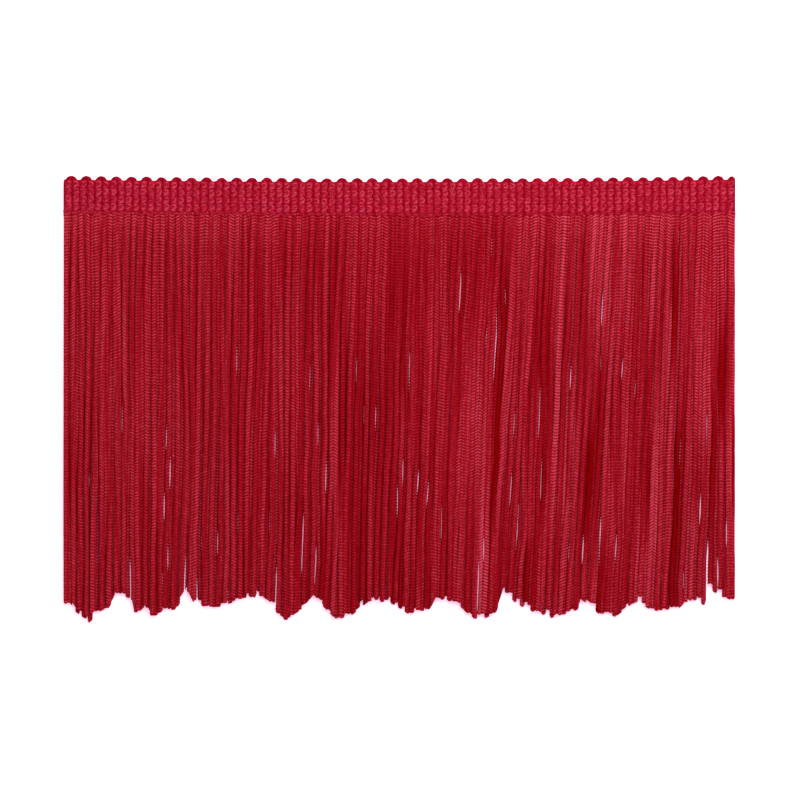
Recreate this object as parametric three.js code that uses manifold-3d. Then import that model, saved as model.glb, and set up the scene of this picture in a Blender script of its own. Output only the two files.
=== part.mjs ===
// A cut length of chainette fringe trim, lying flat with its face up: a crochet-knitted heading with a
// picot edge, and two rows of hanging cords, one over the other.
// Millimetres. +X runs along the trim, +Y up its face towards the picots, +Z out of its face.
// The origin is the middle of the heading's flat back.

import * as THREE from 'three';
import { mergeVertices } from 'three/addons/utils/BufferGeometryUtils.js';
import Module from 'manifold-3d';

const wasm = await Module();
wasm.setup();

// Heading: each picot is a cord turning over the top edge, and its two legs are two ribs of the heading
const trimLength = 235.4;
const ribPitch = 2.6375;
const picotHeight = 1.3;
const headingTop = 6.2;
const headingFoot = -6.0;
const headingThickness = 3.1;
const ribRelief = 0.7;
const picotThickness = 1.8;
const footThickness = 2.2;
const bow = 0.85;
const endTurnDepth = 0.7;
const endTurnLength = 4.0;

// Knitted binding: rows that run along the heading and cross its ribs
const bindingRows = 5;
const rowPitch = 2.4;
const rowRelief = 0.25;

// Cords: a flat underside to lie on, and a narrower top
const cordsInRow = 90;
const cordWidth = 1.5;
const cordTopWidth = 0.85;
const cordHeight = 1.4;
const layerGap = 0.3;
const ownDrift = 0.1;
const calmLength = 8;

// Root strip of each row, parted from the heading's foot
const stripGap = 0.3;
const stripDepth = 2.0;
const stripSteps = 12;
const rootInset = 0.1;

// Hem
const averageFall = 136;
const mostShort = 2.5;
const tipLength = 2.0;
const tipShare = 0.55;
const bendShares = [0.25, 0.5, 0.75];

// How far the cords hang below the picots at mid-length: a row for each tuft or notch of the hem
const hem = [
  { at: 0.0, drop: 149.0 },
  { at: 2.1, drop: 147.9 },
  { at: 4.2, drop: 152.1 },
  { at: 8.8, drop: 155.6 },
  { at: 10.9, drop: 152.8 },
  { at: 16.1, drop: 149.7 },
  { at: 17.9, drop: 145.1 },
  { at: 24.2, drop: 148.3 },
  { at: 24.8, drop: 153.5 },
  { at: 28.4, drop: 149.3 },
  { at: 30.5, drop: 153.5 },
  { at: 40.0, drop: 150.4 },
  { at: 43.5, drop: 144.4 },
  { at: 45.3, drop: 149.0 },
  { at: 53.7, drop: 150.4 },
  { at: 65.3, drop: 146.2 },
  { at: 69.8, drop: 147.2 },
  { at: 77.9, drop: 154.6 },
  { at: 84.9, drop: 149.7 },
  { at: 87.7, drop: 145.8 },
  { at: 95.4, drop: 154.2 },
  { at: 101.1, drop: 152.8 },
  { at: 107.0, drop: 147.9 },
  { at: 113.7, drop: 148.3 },
  { at: 121.4, drop: 152.8 },
  { at: 128.1, drop: 152.1 },
  { at: 130.5, drop: 146.5 },
  { at: 137.9, drop: 148.6 },
  { at: 144.6, drop: 154.9 },
  { at: 151.6, drop: 152.1 },
  { at: 154.0, drop: 143.7 },
  { at: 159.3, drop: 149.3 },
  { at: 170.9, drop: 153.9 },
  { at: 180.0, drop: 151.4 },
  { at: 181.4, drop: 146.9 },
  { at: 188.4, drop: 153.2 },
  { at: 193.0, drop: 153.9 },
  { at: 200.4, drop: 147.9 },
  { at: 207.4, drop: 151.8 },
  { at: 215.4, drop: 151.4 },
  { at: 217.5, drop: 148.6 },
  { at: 224.6, drop: 149.3 },
  { at: 226.0, drop: 143.7 },
  { at: 235.4, drop: 149.3 },
];

// How many degrees the cords lean towards -X on their way down
const lean = [
  { at: 0, degrees: 0.0 },
  { at: 60, degrees: 0.6 },
  { at: 118, degrees: 1.7 },
  { at: 185, degrees: 2.8 },
  { at: 212, degrees: 2.3 },
  { at: 235.4, degrees: 0.0 },
];

// Waves of sideways drift that draw neighbouring cords into clumps, full at the hem
const clumps = {
  front: [
    { sway: 0.4, span: 19, phase: 0.4, turn: 2.2 },
    { sway: 0.2, span: 11, phase: 1.9, turn: -2.6 },
  ],
  back: [
    { sway: 0.4, span: 23, phase: 3.6, turn: -1.8 },
    { sway: 0.2, span: 12, phase: 5.1, turn: 3.1 },
  ],
};

// One repeat of the heading, two ribs wide: how far a section rises into the picot, and how far into a rib
const sectionsInRepeat = 6;
const repeatSections = [
  { at: 0 / 6, picot: 0.0, rib: 0 },
  { at: 1 / 6, picot: 0.0, rib: 1 },
  { at: 2 / 6, picot: 0.8, rib: 1 },
  { at: 3 / 6, picot: 1.0, rib: 0 },
  { at: 4 / 6, picot: 0.8, rib: 1 },
  { at: 5 / 6, picot: 0.0, rib: 1 },
  { at: 6 / 6, picot: 0.0, rib: 0 },
];

function seeded(seed) {
  let state = seed;
  return () => {
    state = (state * 16807) % 2147483647;
    return state / 2147483647;
  };
}

// The table's value at a place, straight between its rows
function tableValue(table, column, at) {
  const last = table[table.length - 1];
  if (at <= table[0].at) return table[0][column];
  if (at >= last.at) return last[column];
  const after = table.findIndex((row) => row.at > at);
  const [low, high] = [table[after - 1], table[after]];
  const share = (at - low.at) / (high.at - low.at);
  return low[column] + share * (high[column] - low[column]);
}

const fromLeft = (x) => x + trimLength / 2;

// The heading lies in a shallow bow, its ends above its middle
const bowAt = (x) => bow * (2 * x / trimLength) ** 2;

// The outermost cords hang straight: drift fades in over the calm length from either end of the trim
const calmAt = (x) => THREE.MathUtils.smoothstep(trimLength / 2 - Math.abs(x), 0, calmLength);

// Sideways place of a cord at a distance below the heading's foot
function cordX(row, rootX, own, below) {
  const share = below / averageFall;
  const looseness = calmAt(rootX) * (1 - (1 - share) ** 2);
  const leanAngle = THREE.MathUtils.degToRad(tableValue(lean, 'degrees', fromLeft(rootX)));
  let x = rootX - below * Math.tan(leanAngle) + looseness * own;
  for (const { sway, span, phase, turn } of clumps[row]) {
    x += looseness * sway * Math.sin(2 * Math.PI * rootX / span + phase + turn * share);
  }
  return x;
}

// Closed geometry through rings of equal numbers of points, with a flat cap at each end
function loft(rings) {
  const sides = rings[0].length;
  const indices = [];
  for (let ring = 0; ring < rings.length - 1; ring += 1) {
    for (let side = 0; side < sides; side += 1) {
      const a = ring * sides + side;
      const b = ring * sides + (side + 1) % sides;
      indices.push(a, b, b + sides, a, b + sides, a + sides);
    }
  }
  const end = (rings.length - 1) * sides;
  for (let side = 1; side < sides - 1; side += 1) {
    indices.push(0, side + 1, side);
    indices.push(end, end + side, end + side + 1);
  }
  const geometry = new THREE.BufferGeometry();
  geometry.setAttribute('position', new THREE.Float32BufferAttribute(rings.flat(2), 3));
  geometry.setIndex(indices);
  return geometry;
}

function toSolid(geometry) {
  const bare = geometry.clone();
  bare.deleteAttribute('normal');
  bare.deleteAttribute('uv');
  const merged = mergeVertices(bare);
  return new wasm.Manifold(new wasm.Mesh({
    numProp: 3,
    vertProperties: new Float32Array(merged.attributes.position.array),
    triVerts: new Uint32Array(merged.index.array),
  }));
}

function toGeometry(solid) {
  const mesh = solid.getMesh();
  const geometry = new THREE.BufferGeometry();
  geometry.setAttribute('position', new THREE.BufferAttribute(mesh.vertProperties, 3));
  geometry.setIndex(new THREE.BufferAttribute(mesh.triVerts, 1));
  return geometry;
}

// The heading's section at x, from its foot's back edge over the top and down the bound face to the foot
function headingRing(x) {
  const foot = headingFoot + bowAt(x);
  const share = (fromLeft(x) / (2 * ribPitch)) % 1;
  const edge = headingTop + bowAt(x) + tableValue(repeatSections, 'picot', share) * picotHeight;
  const towardsEnd = THREE.MathUtils.smoothstep(x, trimLength / 2 - endTurnLength, trimLength / 2);
  const groove = ribRelief * (1 - tableValue(repeatSections, 'rib', share));
  const crest = headingThickness - groove - endTurnDepth * towardsEnd;
  const face = [];
  for (let step = 2 * bindingRows - 1; step > 0; step -= 1) {
    const betweenRows = step % 2 === 0 ? rowRelief : 0;
    face.push([x, foot + step * rowPitch / 2, crest - betweenRows]);
  }
  return [
    [x, foot, 0],
    [x, edge, 0],
    [x, edge, picotThickness],
    ...face,
    [x, foot, footThickness],
  ];
}

// The right end cuts through the last picot
function headingGeometry() {
  const step = 2 * ribPitch / sectionsInRepeat;
  const rings = [];
  for (let at = 0; at < trimLength - step / 3; at += step) {
    rings.push(headingRing(at - trimLength / 2));
  }
  rings.push(headingRing(trimLength / 2));
  return loft(rings);
}

// A cord's section at y: widths and height shrink together by share, and its underside stays at base
function cordRing(x, y, base, share) {
  const half = share * cordWidth / 2;
  const topHalf = share * cordTopWidth / 2;
  const top = base + share * cordHeight;
  return [
    [x - half, y, base],
    [x + half, y, base],
    [x + topHalf, y, top],
    [x - topHalf, y, top],
  ];
}

function cordGeometry(row, rootX, base, random) {
  const short = mostShort * random() ** 2;
  const own = ownDrift * (2 * random() - 1);
  const foot = headingFoot + bowAt(rootX);
  const hemX = cordX(row, rootX, own, averageFall);
  const tipY = headingTop + picotHeight - tableValue(hem, 'drop', fromLeft(hemX)) + short;
  const fall = foot - tipY;
  const at = (below, height, share) => cordRing(cordX(row, rootX, own, below), foot - below, height, share);
  return loft([
    at(stripGap + stripDepth / 2, base + rootInset, 1 - rootInset),
    ...bendShares.map((share) => at(share * averageFall, base, 1)),
    at(fall - tipLength, base, 1),
    at(fall, base, tipShare),
  ]);
}

// The narrow strip that holds a row's roots, along the heading's foot
function stripGeometry(base) {
  const upper = [];
  const lower = [];
  for (let step = 0; step <= stripSteps; step += 1) {
    const x = (step / stripSteps - 0.5) * trimLength;
    const y = headingFoot + bowAt(x) - stripGap;
    upper.push(new THREE.Vector2(x, y));
    lower.push(new THREE.Vector2(x, y - stripDepth));
  }
  const outline = new THREE.Shape([...lower, ...upper.reverse()]);
  return new THREE.ExtrudeGeometry(outline, { depth: cordHeight, bevelEnabled: false }).translate(0, 0, base);
}

// A row of cords fused to its strip. Rows are set half a cord's pitch apart, so one fills the other's gaps
function fringeGeometry(row, firstCord, base, random) {
  const spacing = (trimLength - cordWidth) / (2 * cordsInRow - 1);
  let solid = toSolid(stripGeometry(base));
  for (let cord = firstCord; cord < 2 * cordsInRow; cord += 2) {
    const rootX = (cordWidth - trimLength) / 2 + cord * spacing;
    solid = solid.add(toSolid(cordGeometry(row, rootX, base, random)));
  }
  return toGeometry(solid);
}

function yarn(color) {
  return new THREE.MeshStandardMaterial({ color, roughness: 0.8, metalness: 0, flatShading: true });
}

function piece(name, geometry, material) {
  const mesh = new THREE.Mesh(geometry, material);
  mesh.name = name;
  return mesh;
}

const random = seeded(7247);
const headingYarn = yarn(0xb41f38);
const frontYarn = yarn(0xa81a2d);
const backYarn = yarn(0x98142a);

const trim = new THREE.Group();
trim.add(
  piece('heading', headingGeometry(), headingYarn),
  piece('fringe_front', fringeGeometry('front', 0, cordHeight + layerGap, random), frontYarn),
  piece('fringe_back', fringeGeometry('back', 1, 0, random), backYarn),
);

export default trim;
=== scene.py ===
import math

import bpy
import numpy as np
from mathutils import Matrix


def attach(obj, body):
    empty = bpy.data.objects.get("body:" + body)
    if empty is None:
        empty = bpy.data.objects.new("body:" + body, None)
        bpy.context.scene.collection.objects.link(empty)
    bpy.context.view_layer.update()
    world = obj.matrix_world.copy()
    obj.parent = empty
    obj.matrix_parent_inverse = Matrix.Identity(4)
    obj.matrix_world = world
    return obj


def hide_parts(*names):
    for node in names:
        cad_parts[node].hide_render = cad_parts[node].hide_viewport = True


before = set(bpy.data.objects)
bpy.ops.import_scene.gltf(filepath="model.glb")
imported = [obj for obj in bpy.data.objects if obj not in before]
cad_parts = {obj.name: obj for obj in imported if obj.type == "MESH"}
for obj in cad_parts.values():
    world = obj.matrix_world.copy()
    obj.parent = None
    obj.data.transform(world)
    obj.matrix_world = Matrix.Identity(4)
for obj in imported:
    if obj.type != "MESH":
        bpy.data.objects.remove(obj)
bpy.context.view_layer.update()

# Lengths here are millimetres, as in the solids. Meshes, lights and the camera are written in metres
MM = 0.001

# Heading, as in the solids
TRIM_LENGTH = 235.4
PICOT_COUNT = 45
PICOT_HEIGHT = 1.3
HEADING_TOP = 6.2
RIB_PITCH = 2.6375
FIRST_GROOVE = 0.35
BOW = 0.85
END_TURN_DEPTH = 0.7
END_TURN_LENGTH = 4.0

# Cords, as in the solids
CORDS_IN_ROW = 90
CORD_WIDTH = 1.5
OWN_DRIFT = 0.1
CALM_LENGTH = 8
AVERAGE_FALL = 136
MOST_SHORT = 2.5

# How far the cords hang below the picots at mid-length: a row for each tuft or notch of the hem
HEM = [
    {"at": 0.0, "drop": 149.0},
    {"at": 2.1, "drop": 147.9},
    {"at": 4.2, "drop": 152.1},
    {"at": 8.8, "drop": 155.6},
    {"at": 10.9, "drop": 152.8},
    {"at": 16.1, "drop": 149.7},
    {"at": 17.9, "drop": 145.1},
    {"at": 24.2, "drop": 148.3},
    {"at": 24.8, "drop": 153.5},
    {"at": 28.4, "drop": 149.3},
    {"at": 30.5, "drop": 153.5},
    {"at": 40.0, "drop": 150.4},
    {"at": 43.5, "drop": 144.4},
    {"at": 45.3, "drop": 149.0},
    {"at": 53.7, "drop": 150.4},
    {"at": 65.3, "drop": 146.2},
    {"at": 69.8, "drop": 147.2},
    {"at": 77.9, "drop": 154.6},
    {"at": 84.9, "drop": 149.7},
    {"at": 87.7, "drop": 145.8},
    {"at": 95.4, "drop": 154.2},
    {"at": 101.1, "drop": 152.8},
    {"at": 107.0, "drop": 147.9},
    {"at": 113.7, "drop": 148.3},
    {"at": 121.4, "drop": 152.8},
    {"at": 128.1, "drop": 152.1},
    {"at": 130.5, "drop": 146.5},
    {"at": 137.9, "drop": 148.6},
    {"at": 144.6, "drop": 154.9},
    {"at": 151.6, "drop": 152.1},
    {"at": 154.0, "drop": 143.7},
    {"at": 159.3, "drop": 149.3},
    {"at": 170.9, "drop": 153.9},
    {"at": 180.0, "drop": 151.4},
    {"at": 181.4, "drop": 146.9},
    {"at": 188.4, "drop": 153.2},
    {"at": 193.0, "drop": 153.9},
    {"at": 200.4, "drop": 147.9},
    {"at": 207.4, "drop": 151.8},
    {"at": 215.4, "drop": 151.4},
    {"at": 217.5, "drop": 148.6},
    {"at": 224.6, "drop": 149.3},
    {"at": 226.0, "drop": 143.7},
    {"at": 235.4, "drop": 149.3},
]

# How many degrees the cords lean towards -X on their way down
LEAN = [
    {"at": 0, "degrees": 0.0},
    {"at": 60, "degrees": 0.6},
    {"at": 118, "degrees": 1.7},
    {"at": 185, "degrees": 2.8},
    {"at": 212, "degrees": 2.3},
    {"at": 235.4, "degrees": 0.0},
]

# Waves of sideways drift that draw neighbouring cords into clumps, full at the hem
CLUMPS = {
    "front": [
        {"sway": 0.4, "span": 19, "phase": 0.4, "turn": 2.2},
        {"sway": 0.2, "span": 11, "phase": 1.9, "turn": -2.6},
    ],
    "back": [
        {"sway": 0.4, "span": 23, "phase": 3.6, "turn": -1.8},
        {"sway": 0.2, "span": 12, "phase": 5.1, "turn": 3.1},
    ],
}

# Narrow partings where the floor shows between the cords. "top" and "foot" are below the heading
PARTINGS = [
    # Places and widths that a program found in the photograph, then rounded and lengthened
    {"at": 9.0, "top": 90, "foot": 98, "wide": 0.5},
    {"at": 24.1, "top": 122, "foot": 136, "wide": 0.5},
    {"at": 34.3, "top": 121, "foot": 140, "wide": 0.8},
    {"at": 34.9, "top": 98, "foot": 106, "wide": 0.5},
    {"at": 36.6, "top": 86, "foot": 95, "wide": 0.5},
    {"at": 36.0, "top": 116, "foot": 123, "wide": 0.5},
    {"at": 42.4, "top": 118, "foot": 140, "wide": 0.8},
    {"at": 48.8, "top": 110, "foot": 130, "wide": 0.8},
    {"at": 54.2, "top": 111, "foot": 118, "wide": 0.4},
    {"at": 57.7, "top": 127, "foot": 138, "wide": 0.5},
    {"at": 72.4, "top": 104, "foot": 113, "wide": 0.4},
    {"at": 73.1, "top": 124, "foot": 138, "wide": 0.5},
    {"at": 83.8, "top": 102, "foot": 124, "wide": 0.5},
    {"at": 92.4, "top": 90, "foot": 96, "wide": 0.4},
    {"at": 117.2, "top": 119, "foot": 138, "wide": 0.6},
    {"at": 123.6, "top": 89, "foot": 96, "wide": 0.5},
    {"at": 137.0, "top": 92, "foot": 101, "wide": 0.5},
    {"at": 138.8, "top": 20, "foot": 33, "wide": 0.4},
    {"at": 142.3, "top": 61, "foot": 69, "wide": 0.5},
    {"at": 144.0, "top": 34, "foot": 41, "wide": 0.5},
    {"at": 145.5, "top": 122, "foot": 138, "wide": 0.6},
    {"at": 148.5, "top": 38, "foot": 45, "wide": 0.5},
    {"at": 150.0, "top": 6, "foot": 14, "wide": 0.3},
    {"at": 151.1, "top": 40, "foot": 57, "wide": 0.5},
    {"at": 151.9, "top": 30, "foot": 37, "wide": 0.5},
    {"at": 154.9, "top": 25, "foot": 35, "wide": 0.5},
    {"at": 156.2, "top": 91, "foot": 101, "wide": 0.6},
    {"at": 157.7, "top": 69, "foot": 77, "wide": 0.5},
    {"at": 158.0, "top": 107, "foot": 114, "wide": 0.7},
    {"at": 162.5, "top": 125, "foot": 140, "wide": 0.8},
    {"at": 166.8, "top": 61, "foot": 78, "wide": 0.6},
    {"at": 177.7, "top": 54, "foot": 60, "wide": 0.5},
    {"at": 181.8, "top": 113, "foot": 121, "wide": 0.6},
    {"at": 188.0, "top": 107, "foot": 115, "wide": 0.5},
    {"at": 188.3, "top": 28, "foot": 38, "wide": 0.5},
    {"at": 194.1, "top": 112, "foot": 120, "wide": 0.4},
    {"at": 215.0, "top": 2, "foot": 11, "wide": 0.3},
    {"at": 226.2, "top": 117, "foot": 140, "wide": 1.2},
    {"at": 229.0, "top": 122, "foot": 130, "wide": 0.5},
    {"at": 232.0, "top": 108, "foot": 115, "wide": 0.4},
]

# Hairline partings strewn among them, more of them to the right and towards the hem
HAIRLINES = 50
HAIRLINES_FROM = 20
HAIRLINES_TO = 130
HAIRLINE_SHORTEST = 4
HAIRLINE_LONGEST = 14

# How a parting opens: the share of its width that shows, and the push and the reach in cords beside it
SLIT_SHARE = 0.2
SLIT_LEAST = 0.02
PARTING_PUSH = 1.3
PARTING_REACH = 3
PARTING_OUTER_END = 5
PARTING_INNER_END = 2

# Painted light and shade of the cords along the trim, lighter where more light falls; how far neighbours
# differ in tone and painted shade; and how deep chance cords sink
SHADES = [
    {"at": 0, "painted_lighter": 0.15, "contrast": 0.5, "sunk": 0.3},
    {"at": 50, "painted_lighter": 0.05, "contrast": 0.6, "sunk": 0.5},
    {"at": 100, "painted_lighter": -0.3, "contrast": 1.2, "sunk": 0.8},
    {"at": 135, "painted_lighter": -0.25, "contrast": 1.3, "sunk": 1.0},
    {"at": 190, "painted_lighter": 0.15, "contrast": 1.6, "sunk": 1.3},
    {"at": 235.4, "painted_lighter": 0.1, "contrast": 1.3, "sunk": 1.3},
]
# How far a sunk cord lies lower, and how much painted shade darkens it
SUNK_LEVEL = 0.5
SUNK_PAINTED_SHADE = 1.1
ROOT_CONTRAST = 0.2
LOOSE_CONTRAST = 0.1

# Chance waves over the fringe, each alike within so many cords and so many millimetres down them
WAVES = {
    "sideways": [
        {"size": 0.5, "cords": 1, "down": 28},
        {"size": 0.2, "cords": 4, "down": 40},
        {"size": 0.1, "cords": 0.7, "down": 5},
    ],
    "layering": [{"size": 0.3, "cords": 4, "down": 40}],
    "height": [{"size": 0.35, "cords": 0.7, "down": 30}],
    "sinking": [{"size": 1, "cords": 0.7, "down": 25}],
    "tone_and_painted_light": [{"size": 1, "cords": 0.8, "down": 30}],
}
LOOSE_FROM = 40

# How the cords rest on one another
CORD_COUNT = 2 * CORDS_IN_ROW
CORD_SPACING = (TRIM_LENGTH - CORD_WIDTH) / (CORD_COUNT - 1)
STATIONS = np.arange(0, 150, 2.0)  # places below the heading at which a cord's way is laid
CLOSEST = 1.35
CLOSEST_LAYERED = 1.6
FARTHEST = 1.5
ROOT_LEVEL = 1.15
ROOT_SHIFT = 0.18
MIDDLE_LEVEL = 1.75
LAYER_SHIFT = 0.55
HEM_SHIFT = 0.15
RISE_LENGTH = 8
LAYERING = 0.9
LEAST_LAYERING = 0.3
CLEARANCE = 0.02

# Rounds of settling, and what each round takes off each fault
ROUNDS = 240
BACK_SIDEWAYS = 0.03
BACK_IN_HEIGHT = 0.04
PUSH_APART = 0.25
PULL_TOGETHER = 0.5
SMOOTHING = 0.3

# Chain stitches of a cord
CORD_SIDES = 8
CORD_RADIUS = 0.95
FRONT_WIDENING = 1.16
BACK_WIDENING = 1.05
STITCH_PITCH = 1.07
STITCH_DEPTH = 0.14
COLUMN_DIP = 0.09
TIP_LENGTH = 1.0
ROOT_LENGTH = 1.5
TIP_SHARE = 0.85
PIECES_IN_ROW = 3
WHOLE_TURN = 6.3

# Relief of a cord, from 0 in the gaps between stitches to 1 on their crests: it paints shade into the
# gaps and a highlight on the crests
STITCH_CONTRAST = 0.76
CONTRAST_LOSS = 0.12
# Painted shade along the dips between the stitch columns
COLUMN_PAINTED_SHADE = 0.35
# Painted light on the top and underside of a cord, painted shade on its flanks
CREST_PAINTED_LIGHT = 0.1
# Painted light on the cords just below the heading, where they lie low and in shade
ROOT_PAINTED_LIGHT = 0.06
ROOT_PAINTED_LIGHT_LENGTH = 14

# Knitted binding of the heading
BINDING_ROWS = 4
TOP_ROW = 4.5
ROW_PITCH = 2.58
THREAD_RADIUS = 0.21
LOOP_OVERRUN = 0.54
LOOP_HEIGHT = 0.86
LOOP_FLARE = 0.2
LOOP_LIFT = 0.26
LOOP_SINK = 0.7
LOOP_SIZE_CHANCE = 0.25
LOOP_ASIDE_CHANCE = 0.4
LOOP_UP_CHANCE = 0.2
BINDINGS = [
    {"name": "binding_face", "face": True, "samples": 14, "sides": 6},
    {"name": "binding_back", "face": False, "samples": 10, "sides": 4},
]

# Ribbed body under the binding
BODY_FOOT = -5.9
BODY_BACK = 0.45
BODY_FACE = 2.6
BODY_RIB = 0.75
RIB_COLUMNS = 8
RIB_STITCH_DEPTH = 0.14
ROW_BULGE = 0.2
PICOT_HILL = 0.6
BODY_ROUNDING = 0.6
BACK_RIB = 0.5
BACK_DROP = 0.1
BACK_ROWS = 10
STITCH_LEAN = 0.3
BARE_LENGTH = 2

# Picots
PICOT_RADIUS = 1.2
PICOT_LEG = 3.0
PICOT_LEVEL = 1.5
PICOT_STITCH_DEPTH = 0.07
PICOT_RISE = 0.12

# Yarns: painted shade in the gaps, colours on the bars, a painted highlight on their crests, and how much
# specks of fibre show
YARNS = {
    "heading_yarn": {
        "gap": (0.13, 0.0001, 0.003),
        "bar": (0.27, 0.0045, 0.017),
        "gleam": (0.42, 0.036, 0.068),
        "fibre_contrast": 1.3,
    },
    "cord_yarn": {
        "gap": (0.13, 0.0, 0.0),
        "bar": (0.235, 0.0037, 0.01),
        "gleam": (0.43, 0.05, 0.083),
        "fibre_contrast": 0.6,
    },
}
MOTTLE_SCALE = 650
MOTTLE_CONTRAST = 0.3
FIBRE_SCALE = 2400
TONE_AND_PAINTED_LIGHT_CONTRAST = 0.2


def seeded(seed):
    """The same numbers from 0 to 1 each run, as in the solids."""
    state = seed
    while True:
        state = state * 16807 % 2147483647
        yield state / 2147483647


def table_value(table, column, at):
    """A table's column at a place, in a straight line between its rows."""
    return np.interp(at, [row["at"] for row in table], [row[column] for row in table])


def smoothstep(x, low, high):
    share = np.clip((x - low) / (high - low), 0, 1)
    return share * share * (3 - 2 * share)


def from_left(x):
    """Distance along the trim from its left end."""
    return x + TRIM_LENGTH / 2


def bow_at(x):
    """How far the trim's ends curve up from its middle."""
    return BOW * (2 * x / TRIM_LENGTH) ** 2


def calm_at(x):
    """0 at the cut ends, where the cords lie straight, and 1 away from them."""
    return smoothstep(TRIM_LENGTH / 2 - abs(x), 0, CALM_LENGTH)


def cord_x(row, root_x, own, below):
    """Sideways place of a cord at distances below the heading's foot."""
    share = below / AVERAGE_FALL
    looseness = calm_at(root_x) * (1 - (1 - share) ** 2)
    lean = math.radians(table_value(LEAN, "degrees", from_left(root_x)))
    x = root_x - below * math.tan(lean) + looseness * own
    for wave in CLUMPS[row]:
        angle = 2 * math.pi * root_x / wave["span"] + wave["phase"] + wave["turn"] * share
        x = x + looseness * wave["sway"] * np.sin(angle)
    return x


def skin(rings, cell):
    """Quads over rings of points, with both ends capped, and their map corners inside one cell."""
    count, around = rings.shape[:2]
    ring, side = np.meshgrid(np.arange(count - 1), np.arange(around), indexing="ij")
    corner_ring = np.stack([ring, ring, ring + 1, ring + 1], -1).reshape(-1, 4)
    corner_side = np.stack([side, side + 1, side + 1, side], -1).reshape(-1, 4)
    quads = corner_ring * around + corner_side % around
    left, low, right, high = cell
    body_high = low + 0.97 * (high - low)
    u = left + (right - left) * (0.04 + 0.92 * corner_side / around)
    v = low + (body_high - low) * corner_ring / (count - 1)
    fold = np.arange(around // 2 - 1)
    cap = np.stack([fold, fold + 1, around - 2 - fold, around - 1 - fold], -1)
    caps = np.concatenate([cap, cap[:, ::-1] + (count - 1) * around])
    turn = 2 * math.pi * (caps % around) / around
    middle = np.where(caps < around, 0.25, 0.75)
    cap_u = left + (right - left) * (middle + 0.2 * np.cos(turn))
    cap_v = low + (high - low) * (0.985 + 0.012 * np.sin(turn))
    uv = np.concatenate([np.stack([u, v], -1), np.stack([cap_u, cap_v], -1)])
    return rings.reshape(-1, 3), np.concatenate([quads, caps]), uv


def piece(name, parts, material):
    """One mesh object from parts: each has rings, a map cell and, for each point, a relief that paints
    shade and highlight and a tone that carries painted light and shade.
    """
    points, quads, uv, relief, tone_and_painted_light = [], [], [], [], []
    offset = 0
    for part in parts:
        part_points, part_quads, part_uv = skin(part["rings"], part["cell"])
        points.append(part_points)
        quads.append(part_quads + offset)
        uv.append(part_uv)
        relief.append(np.broadcast_to(part["relief"], len(part_points)))
        tone_and_painted_light.append(np.broadcast_to(part["tone_and_painted_light"], len(part_points)))
        offset += len(part_points)
    mesh = bpy.data.meshes.new(name)
    mesh.from_pydata(np.concatenate(points) * MM, [], np.concatenate(quads))
    mesh.polygons.foreach_set("use_smooth", np.ones(len(mesh.polygons), bool))
    for attribute, values in (("relief", relief), ("tone_and_painted_light", tone_and_painted_light)):
        layer = mesh.attributes.new(attribute, "FLOAT", "POINT")
        layer.data.foreach_set("value", np.concatenate(values).astype(np.float32))
    layer = mesh.uv_layers.new(name="OFBake")
    layer.uv.foreach_set("vector", np.concatenate(uv).astype(np.float32).ravel())
    mesh.materials.append(material)
    mesh.validate()
    made = bpy.data.objects.new(name, mesh)
    bpy.context.scene.collection.objects.link(made)
    return made


def wander(random, name):
    """Smooth noise over all cords and stations: the sum of the waves of that name."""
    order = np.arange(CORD_COUNT)
    total = np.zeros((CORD_COUNT, len(STATIONS)))
    for wave in WAVES[name]:
        across = np.exp(-((order[:, None] - order) / wave["cords"]) ** 2)
        along = np.exp(-((STATIONS[:, None] - STATIONS) / wave["down"]) ** 2)
        field = across @ random.normal(size=(CORD_COUNT, len(STATIONS))) @ along
        total += wave["size"] * field / field.std()
    return total


def settle(x, z, closest, farthest):
    """Cords laid at x and z come to rest: none closer than closest, nor side by side past farthest."""
    wish_x, wish_z = x.copy(), z.copy()
    for _ in range(ROUNDS):
        x += BACK_SIDEWAYS * (wish_x - x)
        z += BACK_IN_HEIGHT * (wish_z - z)
        for reach in (1, 2):
            apart_x = x[reach:] - x[:-reach]
            apart_z = z[reach:] - z[:-reach]
            distance = np.maximum(np.hypot(apart_x, apart_z), 0.1)
            push = PUSH_APART * np.maximum(closest[reach:] - distance, 0) / distance
            x[reach:] += push * apart_x
            x[:-reach] -= push * apart_x
            z[reach:] += push * apart_z
            z[:-reach] -= push * apart_z
        pull = PULL_TOGETHER * np.maximum(x[1:] - x[:-1] - farthest, 0)
        x[1:] -= pull
        x[:-1] += pull
        np.maximum(z, CORD_RADIUS + CLEARANCE, out=z)
        np.clip(x, CORD_RADIUS - TRIM_LENGTH / 2, TRIM_LENGTH / 2 - CORD_RADIUS, out=x)
        for place in (x, z):
            between = (place[:, :-2] + place[:, 2:]) / 2
            place[:, 1:-1] += SMOOTHING * (between - place[:, 1:-1])
        x[:, 0], z[:, 0] = wish_x[:, 0], wish_z[:, 0]
    return x, z


def strewn_partings():
    """Hairline partings at chance places, the same each run."""
    chance = np.random.default_rng(40)
    partings = []
    for _ in range(HAIRLINES):
        at = TRIM_LENGTH * chance.uniform(0, 1) ** 0.7
        top = HAIRLINES_FROM + (HAIRLINES_TO - HAIRLINES_FROM) * chance.uniform(0, 1) ** 0.6
        foot = top + chance.uniform(HAIRLINE_SHORTEST, HAIRLINE_LONGEST)
        partings.append({"at": at, "top": top, "foot": foot, "wide": 0})
    return partings


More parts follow.
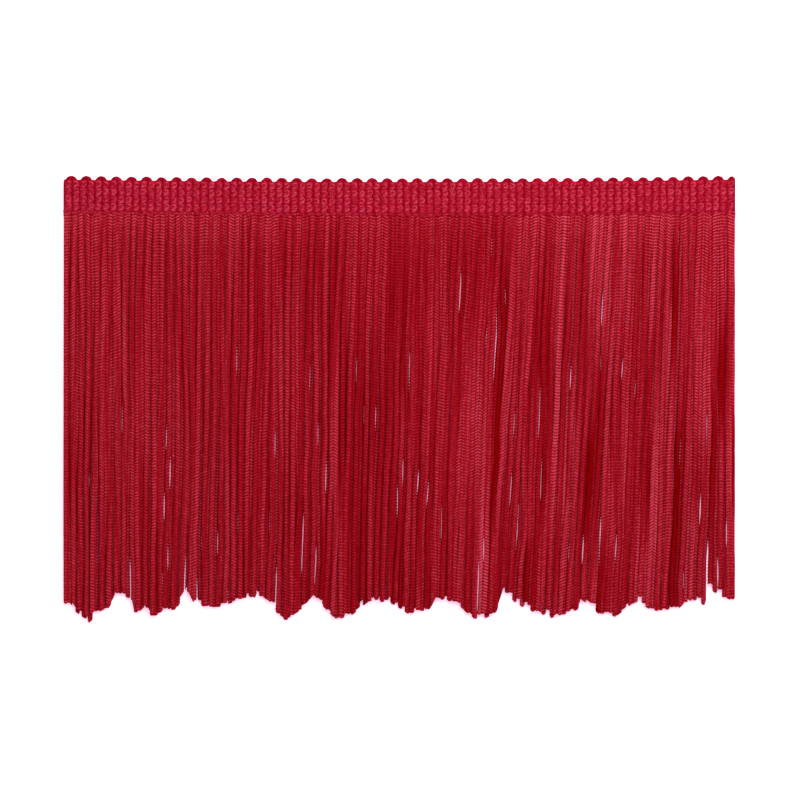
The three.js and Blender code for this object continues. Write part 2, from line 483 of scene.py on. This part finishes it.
def open_parting(parting, x, farthest):
    """Moves the cords' places x aside at a parting, and lets its two cords lie farther apart."""
    top = parting["top"]
    foot = parting["foot"]
    middle = np.searchsorted(STATIONS, (top + foot) / 2)
    at = parting["at"] - TRIM_LENGTH / 2
    left = np.searchsorted(np.maximum.accumulate(x[:, middle]), at) - 1
    left = min(max(left, 0), CORD_COUNT - 2)
    rise = smoothstep(STATIONS, top - PARTING_OUTER_END, top + PARTING_INNER_END)
    fade = 1 - smoothstep(STATIONS, foot - PARTING_INNER_END, foot + PARTING_OUTER_END)
    touching = CORD_RADIUS * (FRONT_WIDENING + BACK_WIDENING) - STITCH_DEPTH
    opening = (SLIT_SHARE * parting["wide"] + SLIT_LEAST + touching - FARTHEST) * rise * fade
    beside = np.arange(CORD_COUNT)[:, None] - left - 0.5
    near = np.exp(-np.abs(beside) / PARTING_REACH)
    x += np.sign(beside) * near * PARTING_PUSH * opening
    farthest[left] = np.maximum(farthest[left], FARTHEST + opening)


def lay_cords(random, extra):
    """Where every cord lies at the stations, how short of the hem it ends, and its tone with painted
    light and shade.
    """
    order = np.arange(CORD_COUNT)[:, None]
    x = np.zeros((CORD_COUNT, len(STATIONS)))
    shorts = np.zeros(CORD_COUNT)
    for row, first_cord in (("front", 0), ("back", 1)):
        for cord in range(first_cord, CORD_COUNT, 2):
            root_x = (CORD_WIDTH - TRIM_LENGTH) / 2 + cord * CORD_SPACING
            chance = next(random)
            shorts[cord] = MOST_SHORT * (0.8 * chance ** 3 - 0.3 * (1 - chance) ** 4)
            own = OWN_DRIFT * (2 * next(random) - 1)
            x[cord] = cord_x(row, root_x, own, STATIONS)
    loose = smoothstep(STATIONS, 0, LOOSE_FROM)
    x += loose * calm_at(x[:, :1]) * wander(extra, "sideways")
    layering = np.clip(LAYERING + wander(extra, "layering"), LEAST_LAYERING, 1)
    farthest = np.full((CORD_COUNT - 1, len(STATIONS)), FARTHEST)
    for parting in PARTINGS + strewn_partings():
        open_parting(parting, x, farthest)
    risen = smoothstep(STATIONS, 0, RISE_LENGTH)
    level = ROOT_LEVEL + (MIDDLE_LEVEL - ROOT_LEVEL) * risen
    shift = (ROOT_SHIFT + (LAYER_SHIFT - ROOT_SHIFT) * risen) * layering
    shift += HEM_SHIFT * smoothstep(STATIONS, LOOSE_FROM, AVERAGE_FALL)
    z = level + shift * np.where(order % 2, -1, 1) + loose * wander(extra, "height")
    along = from_left(x[:, :1])
    sunk = np.clip(wander(np.random.default_rng(41), "sinking") - 1, 0, 1.5) * loose
    sunk *= table_value(SHADES, "sunk", along)
    z -= SUNK_LEVEL * sunk
    closest = CLOSEST + (CLOSEST_LAYERED - CLOSEST) * layering
    x, z = settle(x, z, closest, farthest)
    contrast = table_value(SHADES, "contrast", along) * (ROOT_CONTRAST + LOOSE_CONTRAST * loose)
    # Painted light and shade along the trim, and painted shade on the sunk cords
    tone_and_painted_light = 0.5 + table_value(SHADES, "painted_lighter", along) - SUNK_PAINTED_SHADE * sunk
    # A chance wave of tone between neighbours, partly painted shade of cords lying in shadow
    tone_and_painted_light += contrast * wander(extra, "tone_and_painted_light")
    return x, z, shorts, tone_and_painted_light


def hem_at(x, short):
    """The Y at which a cord at x ends, when it ends so short of the hem."""
    return HEADING_TOP + PICOT_HEIGHT - table_value(HEM, "drop", from_left(x)) + short


def chain_cord(
    path, length, first_turn, turns, slant, cell,
    tone_and_painted_light=0.5, widening=1, rings_in_stitch=2, depth=STITCH_DEPTH,
):
    """A chain-knitted cord: a tube whose stitches are bars around it, each bent into a V.

    path(s) gives the centre and two directions across the cord at distances s along it. The depth is how
    far the gaps between stitches lie below their bars.
    """
    along = np.arange(0, length, STITCH_PITCH / rings_in_stitch)[:, None]
    side = np.arange(CORD_SIDES)[None, :]
    column = side % 4 == 0
    bend = 1 - np.abs(2 * side / CORD_SIDES - 1)
    bar = 0.5 - 0.5 * np.cos(2 * math.pi * along / STITCH_PITCH)
    room = np.clip(along / STITCH_PITCH, 0, 1) * np.clip((length - along) / STITCH_PITCH - 0.5, 0, 1)
    s = along + slant * STITCH_PITCH * (bend - 0.5) * room
    angle = first_turn + turns * 2 * math.pi * s / length + 2 * math.pi * side / CORD_SIDES
    tip = np.sqrt(np.clip((length - along) / TIP_LENGTH, 0.2, 1))
    across = tip * (CORD_RADIUS - depth * (1 - bar) - COLUMN_DIP * column)
    centre, first, second = path(s)
    rings = centre + across[..., None] * (
        widening * np.cos(angle)[..., None] * first + np.sin(angle)[..., None] * second
    )
    # Painted shade in the gaps between stitches and along the column dips, painted highlight on the bars,
    # fading down the cord
    contrast = depth / STITCH_DEPTH * (STITCH_CONTRAST - CONTRAST_LOSS * along / length)
    relief = 0.5 + contrast * (bar * (1 - COLUMN_PAINTED_SHADE * column) - 0.5)
    # Painted light on the top and underside of the cord, painted shade on its flanks
    relief += CREST_PAINTED_LIGHT * (np.sin(angle) ** 2 - 0.7)
    return {"rings": rings, "cell": cell, "relief": relief.ravel(), "tone_and_painted_light": tone_and_painted_light}


def hanging_path(x_at, z_at, foot):
    """Path of a fringe cord, from inside the heading's foot down to the hem."""
    def path(s):
        below = s - ROOT_LENGTH
        centre = np.stack([
            np.interp(below, STATIONS, x_at),
            foot - below,
            np.interp(below, STATIONS, z_at),
        ], -1)
        return centre, np.array([1.0, 0, 0]), np.array([0, 0, 1.0])

    return path


def fringe_cords(random, extra):
    """All the cords from left to right, in turn from the front row and the back row."""
    x, z, shorts, tone_and_painted_light = lay_cords(random, extra)
    in_piece = CORDS_IN_ROW // PIECES_IN_ROW
    cords = []
    for cord in range(CORD_COUNT):
        column = (cord // 2 % in_piece) / in_piece
        foot = BODY_FOOT + bow_at(x[cord, 0]) + extra.uniform(-0.2, 0.2)
        around_tip = x[cord, -1] + TIP_SHARE * CORD_RADIUS * np.array([-1, 0, 1])
        fall = foot - np.min(hem_at(around_tip, shorts[cord]))
        made = chain_cord(
            hanging_path(x[cord], z[cord], foot),
            fall + ROOT_LENGTH,
            first_turn=extra.uniform(0, WHOLE_TURN),
            turns=extra.uniform(-1.5, 1.5),
            slant=extra.uniform(0.5, 1.7),
            cell=(column, 0, column + 1 / in_piece, 1),
            widening=BACK_WIDENING if cord % 2 else FRONT_WIDENING,
        )
        points = made["rings"]
        below = foot - points[..., 1]
        # Painted light on the cords just below the heading's foot
        made["relief"] += ROOT_PAINTED_LIGHT * (1 - smoothstep(below, 0, ROOT_PAINTED_LIGHT_LENGTH)).ravel()
        made["tone_and_painted_light"] = np.interp(below, STATIONS, tone_and_painted_light[cord]).ravel()
        across = TIP_SHARE * points[..., 0] + (1 - TIP_SHARE) * x[cord, -1]
        points[..., 1] = np.maximum(points[..., 1], hem_at(across, shorts[cord]))
        cords.append(made)
    return cords


def rib_at(x):
    """How far x is into a rib: 0 in the groove on either side, 1 along its middle."""
    return np.abs(np.sin(math.pi * (from_left(x) - FIRST_GROOVE) / RIB_PITCH)) ** 0.6


def end_turn_at(x):
    """How far the heading's right end turns down."""
    return END_TURN_DEPTH * smoothstep(x, TRIM_LENGTH / 2 - END_TURN_LENGTH, TRIM_LENGTH / 2)


def heading_body():
    """The ribbed body of the heading, one closed sheet: chain stitches on its face, a plainer back."""
    columns = round(TRIM_LENGTH / RIB_PITCH * RIB_COLUMNS) + 1
    x = np.linspace(-TRIM_LENGTH / 2, TRIM_LENGTH / 2, columns)[:, None]
    face_rows = round((HEADING_TOP - BODY_FOOT) / STITCH_PITCH * 2) + 1
    up = np.linspace(HEADING_TOP, BODY_FOOT, face_rows)[None, :]
    down = np.linspace(BODY_FOOT, HEADING_TOP, BACK_ROWS)[None, :]
    gap = (np.arange(face_rows) % 2)[None, :]
    rib = rib_at(x)

    def rounded(y):
        room = np.minimum(y - BODY_FOOT, HEADING_TOP - y)
        return np.sqrt(np.clip(room / BODY_ROUNDING, 0, 1))

    middle = (BODY_FACE + BODY_BACK) / 2
    crest = BODY_FACE - BODY_RIB * (1 - rib) - RIB_STITCH_DEPTH * gap
    face = middle + rounded(up) * (crest - middle) - end_turn_at(x)
    back = middle - rounded(down) * (middle - BODY_BACK - BACK_RIB * (1 - rib)) - BACK_DROP
    place = (from_left(x) - FIRST_GROOVE) / RIB_PITCH
    lean = STITCH_LEAN * STITCH_PITCH * (2 * (place % 1) - 1) * np.where(np.floor(place) % 2, -1, 1)
    face_y = up + lean * rounded(up)
    y = np.concatenate([np.broadcast_to(down, back.shape), face_y], 1)
    hill = PICOT_HILL * np.sin(math.pi * from_left(x) / RIB_PITCH / 2) ** 2
    y = y + hill * smoothstep(y, HEADING_TOP - 2, HEADING_TOP)
    face_x = x + calm_at(x) * ROW_BULGE * np.cos(2 * math.pi * (up - TOP_ROW) / ROW_PITCH)
    rings_x = np.concatenate([np.broadcast_to(x, back.shape), face_x], 1)
    rings = np.stack([rings_x, y + bow_at(x), np.concatenate([back, face], 1)], -1)
    # Painted shade: the relief is low in the grooves between ribs and in the gaps between stitches, lower
    # still near the foot
    bare = 1 - smoothstep(up, BODY_FOOT, BODY_FOOT + BARE_LENGTH)
    back_relief = 0 * back + 0.5 * rib
    face_relief = 0.2 + rib * (0.58 - (0.28 + 0.3 * bare) * gap)
    relief = np.concatenate([back_relief, face_relief], 1).ravel()
    return {"rings": rings, "cell": (0, 0, 1, 1), "relief": relief, "tone_and_painted_light": 0.5}


def binding_row(row, face, samples, sides, cell, extra):
    """One row of knitted loops along the heading: a thread that runs on, turns back and runs on again."""
    t = np.arange(0, TRIM_LENGTH / RIB_PITCH, 1 / samples)
    loop = t.astype(int)
    swing = 2 * math.pi * t
    size = 1 + LOOP_SIZE_CHANCE * extra.uniform(-1, 1, len(t))[loop]
    aside = LOOP_ASIDE_CHANCE * extra.uniform(-1, 1, len(t))[loop] * np.sin(swing / 2) ** 2
    x = FIRST_GROOVE + RIB_PITCH * (t + LOOP_OVERRUN * np.sin(swing)) + aside
    x = np.clip(x, THREAD_RADIUS, TRIM_LENGTH - THREAD_RADIUS) - TRIM_LENGTH / 2
    y = -LOOP_HEIGHT * size * (1 + LOOP_FLARE * np.sin(swing)) * np.cos(swing)
    y = y + TOP_ROW - row * ROW_PITCH + LOOP_UP_CHANCE * extra.uniform(-1, 1, len(t))[loop] + bow_at(x)
    lift = LOOP_LIFT * np.sin(swing)
    if face:
        z = BODY_FACE + CLEARANCE - LOOP_SINK * BODY_RIB * (1 - rib_at(x)) + lift - end_turn_at(x)
    else:
        z = THREAD_RADIUS + CLEARANCE + 0.5 * (LOOP_LIFT - lift)
    centre = np.stack([x, y, z], -1)
    ahead = np.gradient(centre, axis=0)
    ahead /= np.linalg.norm(ahead, axis=1, keepdims=True)
    across = np.cross(ahead, [0, 0, 1.0])
    across /= np.linalg.norm(across, axis=1, keepdims=True)
    over = np.cross(across, ahead)
    angle = 2 * math.pi * np.arange(sides) / sides
    rings = centre[:, None] + THREAD_RADIUS * (
        np.cos(angle)[:, None] * across[:, None] + np.sin(angle)[:, None] * over[:, None]
    )
    # Painted highlights, broken into strokes along each loop, and painted shade where the thread sinks
    # into the grooves between ribs
    painted_highlight_strokes = 0.1 * np.sin(swing) + 0.13 * np.sin(3 * swing + 25 * size)
    relief = np.repeat(0.26 + 0.52 * rib_at(x) + painted_highlight_strokes, sides)
    tone_and_painted_light = np.repeat(extra.uniform(-0.1, 1.2, len(t))[loop], sides)
    return {"rings": rings, "cell": cell, "relief": relief, "tone_and_painted_light": tone_and_painted_light}


def picot_path(centre_x, top, level):
    """Path of a cord that comes up one rib, turns over the top edge and goes down the next rib."""
    arc = math.pi * PICOT_RADIUS
    middle_y = top + PICOT_HEIGHT + PICOT_RISE - PICOT_RADIUS - CORD_RADIUS
    splay = (RIB_PITCH / 2 - PICOT_RADIUS) / PICOT_LEG

    def path(s):
        turn = np.clip((s - PICOT_LEG) / PICOT_RADIUS, 0, math.pi)
        leg = np.maximum(np.maximum(PICOT_LEG - s, s - PICOT_LEG - arc), 0)
        outward = PICOT_RADIUS + splay * leg
        x = centre_x - np.cos(turn) * outward
        y = middle_y + np.sin(turn) * PICOT_RADIUS - leg
        first = np.stack([-np.cos(turn), np.sin(turn), 0 * s], -1)
        return np.stack([x, y, level + 0 * s], -1), first, np.array([0, 0, 1.0])

    return path, 2 * PICOT_LEG + arc


def picots(extra):
    """One cord over each pair of ribs. The right end cuts through the last of them."""
    cords = []
    for index in range(PICOT_COUNT):
        x = (2 * index + 1) * RIB_PITCH - TRIM_LENGTH / 2
        level = PICOT_LEVEL - 0.5 * end_turn_at(x)
        path, length = picot_path(x, HEADING_TOP + bow_at(x) + extra.uniform(-0.1, 0.1), level)
        if index == PICOT_COUNT - 1:
            length = PICOT_LEG + 0.6 * math.pi * PICOT_RADIUS
        cell = (index / PICOT_COUNT, 0, (index + 1) / PICOT_COUNT, 1)
        cords.append(chain_cord(
            path,
            length,
            first_turn=extra.uniform(0, WHOLE_TURN),
            turns=0.2,
            slant=0.5,
            cell=cell,
            # Painted shade: the picots are painted darker than the rest of the heading
            tone_and_painted_light=extra.uniform(-1.0, -0.2),
            rings_in_stitch=4,
            depth=PICOT_STITCH_DEPTH,
        ))
    return cords


def yarn(name, gap, bar, gleam, fibre_contrast):
    """Knitted yarn: painted shade in the gaps, light on the bars, a painted pale highlight on their
    crests, with specks of fibre.
    """
    material = bpy.data.materials.new(name)
    material.use_nodes = True
    nodes, links = material.node_tree.nodes, material.node_tree.links
    shader = nodes["Principled BSDF"]
    shader.inputs["Subsurface Weight"].default_value = 0.8
    shader.inputs["Subsurface Radius"].default_value = (1, 0.1, 0.15)
    shader.inputs["Subsurface Scale"].default_value = 1.0 * MM
    shader.inputs["Specular IOR Level"].default_value = 0.0
    place = nodes.new("ShaderNodeTexCoord")
    relief = nodes.new("ShaderNodeAttribute")
    relief.attribute_name = "relief"
    tone_and_painted_light = nodes.new("ShaderNodeAttribute")
    tone_and_painted_light.attribute_name = "tone_and_painted_light"
    shade = relief.outputs["Fac"]
    noises = {}
    for label, scale, weight in (
        ("mottle", MOTTLE_SCALE, MOTTLE_CONTRAST), ("fibres", FIBRE_SCALE, fibre_contrast)
    ):
        noise = nodes.new("ShaderNodeTexNoise")
        noise.inputs["Scale"].default_value = scale
        noise.inputs["Detail"].default_value = 2
        links.new(place.outputs["Object"], noise.inputs["Vector"])
        noises[label] = noise.outputs["Fac"]
        shade = add_about_half(nodes, links, noise.outputs["Fac"], weight, shade)
    shade = add_about_half(nodes, links, tone_and_painted_light.outputs["Fac"], TONE_AND_PAINTED_LIGHT_CONTRAST, shade)
    # The ramp paints shade where the relief is low and a pale highlight where it is high
    ramp = nodes.new("ShaderNodeValToRGB")
    ramp.color_ramp.interpolation = "EASE"
    ramp.color_ramp.elements[0].position = 0.0
    ramp.color_ramp.elements[0].color = (*gap, 1)
    ramp.color_ramp.elements[1].position = 1.0
    ramp.color_ramp.elements[1].color = (*gleam, 1)
    ramp.color_ramp.elements.new(0.6).color = (*bar, 1)
    links.new(shade, ramp.inputs["Fac"])
    links.new(ramp.outputs["Color"], shader.inputs["Base Color"])
    rough = nodes.new("ShaderNodeMapRange")
    rough.inputs["To Min"].default_value = 0.4
    rough.inputs["To Max"].default_value = 0.7
    links.new(noises["fibres"], rough.inputs["Value"])
    links.new(rough.outputs["Result"], shader.inputs["Roughness"])
    bump = nodes.new("ShaderNodeBump")
    bump.inputs["Strength"].default_value = 0.4
    bump.inputs["Distance"].default_value = 0.05 * MM
    links.new(noises["fibres"], bump.inputs["Height"])
    links.new(bump.outputs["Normal"], shader.inputs["Normal"])
    return material


def add_about_half(nodes, links, value, weight, total):
    """The total plus weight times how far the value is above a half."""
    scaled = nodes.new("ShaderNodeMath")
    scaled.operation = "MULTIPLY_ADD"
    scaled.inputs[1].default_value = weight
    scaled.inputs[2].default_value = -0.5 * weight
    links.new(value, scaled.inputs[0])
    added = nodes.new("ShaderNodeMath")
    added.operation = "ADD"
    links.new(scaled.outputs[0], added.inputs[0])
    links.new(total, added.inputs[1])
    return added.outputs[0]


def lit_floor(name, colour, glow, strength):
    """A matt floor with a faint glow of its own."""
    material = bpy.data.materials.new(name)
    material.use_nodes = True
    shader = material.node_tree.nodes["Principled BSDF"]
    shader.inputs["Base Color"].default_value = (*colour, 1)
    shader.inputs["Roughness"].default_value = 0.9
    shader.inputs["Specular IOR Level"].default_value = 0.0
    shader.inputs["Emission Color"].default_value = (*glow, 1)
    shader.inputs["Emission Strength"].default_value = strength
    return material


def stand_for(made, node):
    """The piece lies on the root and is seen in place of a solid."""
    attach(made, "root")
    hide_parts(node)
    return made


# Pieces
heading_yarn = yarn("heading_yarn", **YARNS["heading_yarn"])
cord_yarn = yarn("cord_yarn", **YARNS["cord_yarn"])
extra = np.random.default_rng(7247)
random = seeded(7247)
heading = stand_for(piece("heading_body", [heading_body()], heading_yarn), "heading")
for binding in BINDINGS:
    rows = []
    for row in range(BINDING_ROWS):
        cell = (row / BINDING_ROWS, 0, (row + 1) / BINDING_ROWS, 1)
        rows.append(binding_row(row, binding["face"], binding["samples"], binding["sides"], cell, extra))
    stand_for(piece(binding["name"], rows, heading_yarn), "heading")
stand_for(piece("picots", picots(extra), heading_yarn), "heading")
cords = fringe_cords(random, extra)
in_piece = CORDS_IN_ROW // PIECES_IN_ROW
for first_cord, row in enumerate(("front", "back")):
    in_row = cords[first_cord::2]
    for part in range(PIECES_IN_ROW):
        some = in_row[part * in_piece:(part + 1) * in_piece]
        made = piece(f"fringe_{row}_{part + 1}", some, cord_yarn)
        stand_for(made, f"fringe_{row}")

# Floor: pale pink with a faint pink glow: painted bounce light from the red cords, which also lifts the
# shadows around the trim
bpy.ops.mesh.primitive_plane_add(size=6)
floor = bpy.context.object
floor.name = "floor"
floor.data.materials.append(lit_floor("floor_with_painted_glow", (0.95, 0.8, 0.88), (1, 0.5, 0.77), 0.48))

# Light: a bright even sky, and a broad lamp above the upper right corner
world = bpy.data.worlds.new("sky")
world.use_nodes = True
world.node_tree.nodes["Background"].inputs["Color"].default_value = (1, 1, 1, 1)
world.node_tree.nodes["Background"].inputs["Strength"].default_value = 0.85
bpy.context.scene.world = world
lamp_data = bpy.data.lights.new("lamp", "AREA")
lamp_data.size = 0.5
lamp_data.energy = 4.9
lamp = bpy.data.objects.new("lamp", lamp_data)
lamp.location = (0.12, 0.22, 0.45)
lamp.rotation_euler = (math.radians(-31), math.radians(13), 0)
bpy.context.scene.collection.objects.link(lamp)

# Camera: straight above, with the photograph's 800 pixels over a field of 280.7 mm
FIELD = 280.7
CAMERA_HEIGHT = 1.5
camera_data = bpy.data.cameras.new("camera")
camera_data.sensor_width = 36
camera_data.lens = 36 * CAMERA_HEIGHT / (FIELD * MM)
camera = bpy.data.objects.new("camera", camera_data)
camera.location = (0.175 * MM, -70.25 * MM, CAMERA_HEIGHT)
bpy.context.scene.collection.objects.link(camera)
bpy.context.scene.camera = camera
bpy.context.scene.view_settings.view_transform = "Standard"
